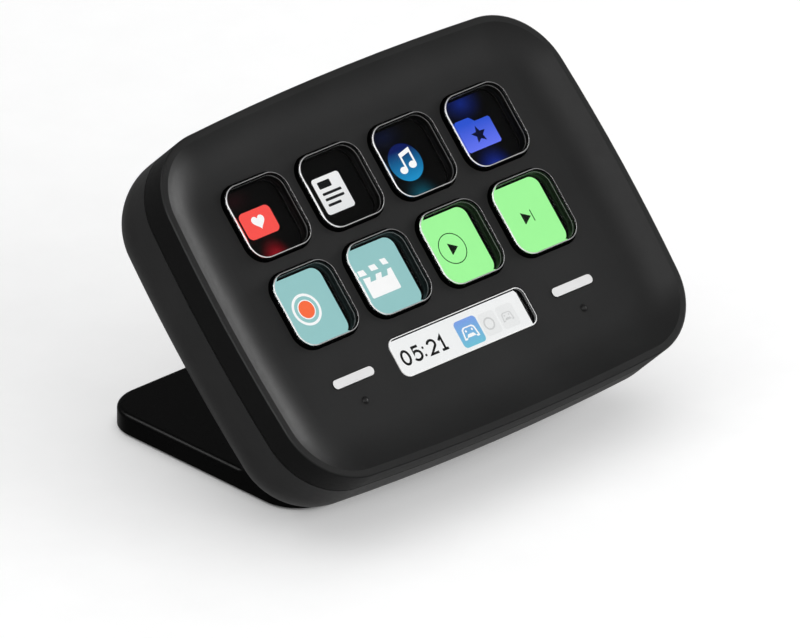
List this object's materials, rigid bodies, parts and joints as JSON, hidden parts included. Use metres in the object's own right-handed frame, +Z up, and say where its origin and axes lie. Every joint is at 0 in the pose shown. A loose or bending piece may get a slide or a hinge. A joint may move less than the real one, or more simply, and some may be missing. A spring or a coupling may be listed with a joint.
{
  "type": "macro keypad",
  "caption": "Desk macro keypad: clear sprung keys over a display, an information bar and touch bars, in a dished case on a folded stand.",
  "frame": {"origin": "centre of the base pad's underside, on the desk", "axes": "+X to the user's right along the face's width, +Y away from the user, +Z up"},
  "size_m": [0.107, 0.0777, 0.0718],
  "materials": {
    "case_black": "satin moulded black",
    "rear_black": "satin moulded black",
    "clear_plastic": "clear polished acrylic",
    "sleeve_black": "polished black",
    "diffuser_white": "milky white",
    "silicone_grey": "moulded silicone",
    "film": "printed polyester film",
    "lamp": "small lamp package",
    "foil": "copper foil",
    "display": "display cell",
    "tray_white": "light guide tray",
    "ribbon": "polyimide ribbon",
    "connector": "moulded connector",
    "steel": "zinc plated steel",
    "brass": "turned brass",
    "board": "circuit board laminate",
    "chip": "moulded chip package",
    "socket_metal": "stamped steel shell",
    "magnet": "nickel plated magnet",
    "stand_black": "satin moulded black",
    "pad_rubber": "non-slip rubber"
  },
  "bodies": {
    "stand": {"stand_frame": "stand_black", "base_pad": "pad_rubber", "stand_keepers": "steel"},
    "case": {"front_cover": "case_black", "rear_cover": "rear_black", "infobar_window": "clear_plastic", "light_bar_left": "diffuser_white", "light_bar_right": "diffuser_white", "key_circuit": "film", "touch_leds": "lamp", "touch_electrodes": "foil", "display_glass": "display", "display_backlight": "tray_white", "display_flex": "ribbon", "flex_connector": "connector", "backing_plate": "steel", "plate_screws": "steel", "board_standoffs": "brass", "main_board": "board", "board_screws": "steel", "board_chips": "chip", "cable_socket": "socket_metal", "stand_magnets": "magnet", "ballast_plate": "steel", "case_screws": "steel", "key_dome_1_1": "silicone_grey", "key_dome_1_2": "silicone_grey", "key_dome_1_3": "silicone_grey", "key_dome_1_4": "silicone_grey", "key_dome_2_1": "silicone_grey", "key_dome_2_2": "silicone_grey", "key_dome_2_3": "silicone_grey", "key_dome_2_4": "silicone_grey"},
    "key_1_1": {"keycap_1_1": "clear_plastic", "key_sleeve_1_1": "sleeve_black"},
    "key_1_2": {"keycap_1_2": "clear_plastic", "key_sleeve_1_2": "sleeve_black"},
    "key_1_3": {"keycap_1_3": "clear_plastic", "key_sleeve_1_3": "sleeve_black"},
    "key_1_4": {"keycap_1_4": "clear_plastic", "key_sleeve_1_4": "sleeve_black"},
    "key_2_1": {"keycap_2_1": "clear_plastic", "key_sleeve_2_1": "sleeve_black"},
    "key_2_2": {"keycap_2_2": "clear_plastic", "key_sleeve_2_2": "sleeve_black"},
    "key_2_3": {"keycap_2_3": "clear_plastic", "key_sleeve_2_3": "sleeve_black"},
    "key_2_4": {"keycap_2_4": "clear_plastic", "key_sleeve_2_4": "sleeve_black"}
  },
  "joints": [
    {"name": "lift_off_stand", "type": "slide", "parent": "stand", "child": "case", "axis": [0, -0.7193, 0.6947], "range_m": [0, 0.03]},
    {"name": "press_key_1_1", "type": "slide", "parent": "case", "child": "key_1_1", "axis": [0, 0.7193, -0.6947], "range_m": [0, 0.0011], "stiffness_N_per_m": 700, "springref_m": -0.0004, "deforming": ["key_dome_1_1"]},
    {"name": "press_key_1_2", "type": "slide", "parent": "case", "child": "key_1_2", "axis": [0, 0.7193, -0.6947], "range_m": [0, 0.0011], "stiffness_N_per_m": 700, "springref_m": -0.0004, "deforming": ["key_dome_1_2"]},
    {"name": "press_key_1_3", "type": "slide", "parent": "case", "child": "key_1_3", "axis": [0, 0.7193, -0.6947], "range_m": [0, 0.0011], "stiffness_N_per_m": 700, "springref_m": -0.0004, "deforming": ["key_dome_1_3"]},
    {"name": "press_key_1_4", "type": "slide", "parent": "case", "child": "key_1_4", "axis": [0, 0.7193, -0.6947], "range_m": [0, 0.0011], "stiffness_N_per_m": 700, "springref_m": -0.0004, "deforming": ["key_dome_1_4"]},
    {"name": "press_key_2_1", "type": "slide", "parent": "case", "child": "key_2_1", "axis": [0, 0.7193, -0.6947], "range_m": [0, 0.0011], "stiffness_N_per_m": 700, "springref_m": -0.0004, "deforming": ["key_dome_2_1"]},
    {"name": "press_key_2_2", "type": "slide", "parent": "case", "child": "key_2_2", "axis": [0, 0.7193, -0.6947], "range_m": [0, 0.0011], "stiffness_N_per_m": 700, "springref_m": -0.0004, "deforming": ["key_dome_2_2"]},
    {"name": "press_key_2_3", "type": "slide", "parent": "case", "child": "key_2_3", "axis": [0, 0.7193, -0.6947], "range_m": [0, 0.0011], "stiffness_N_per_m": 700, "springref_m": -0.0004, "deforming": ["key_dome_2_3"]},
    {"name": "press_key_2_4", "type": "slide", "parent": "case", "child": "key_2_4", "axis": [0, 0.7193, -0.6947], "range_m": [0, 0.0011], "stiffness_N_per_m": 700, "springref_m": -0.0004, "deforming": ["key_dome_2_4"]}
  ]
}
